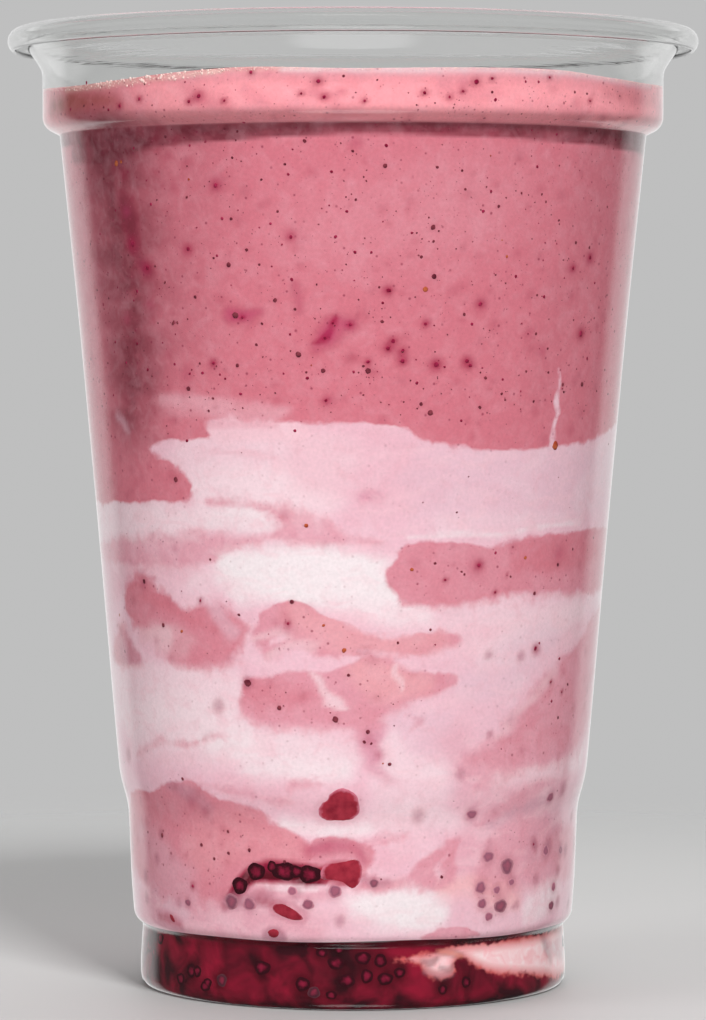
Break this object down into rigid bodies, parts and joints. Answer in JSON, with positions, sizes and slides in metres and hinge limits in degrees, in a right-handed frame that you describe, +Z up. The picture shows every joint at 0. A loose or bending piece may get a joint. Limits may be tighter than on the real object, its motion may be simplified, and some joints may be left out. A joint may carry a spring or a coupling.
{
  "type": "berry smoothie",
  "caption": "Layered berry smoothie over pale yogurt and dark berry compote, in a clear tapered plastic cup with a wide collar and a rolled lip.",
  "frame": {"origin": "centre of the cup's foot, on the surface that it stands on", "axes": "+Z up the cup's axis; -Y towards the viewer's side of the picture, +X to the right of it"},
  "size_m": [0.098, 0.098, 0.136],
  "materials": {
    "cup": "clear thermoformed plastic, smooth and glossy",
    "smoothie": "thick opaque blended fruit, satin where it wets the wall",
    "yogurt": "thick opaque yogurt, streaked with pink",
    "compote": "dark wet berry compote",
    "cream": "pale cream stained pink"
  },
  "bodies": {
    "root": {"cup": "cup", "smoothie": "smoothie", "yogurt": "yogurt", "compote": "compote", "cream_pocket": "cream", "smoothie_tongue_upper_right": "smoothie", "smoothie_tongue_upper_left": "smoothie", "smoothie_tongue_centre": "smoothie", "smoothie_tongue_middle": "smoothie", "smoothie_tongue_right": "smoothie", "smoothie_tongue_lower_left": "smoothie", "smoothie_tongue_back_upper": "smoothie", "smoothie_tongue_back_middle": "smoothie", "smoothie_tongue_back_lower": "smoothie"}
  },
  "joints": []
}
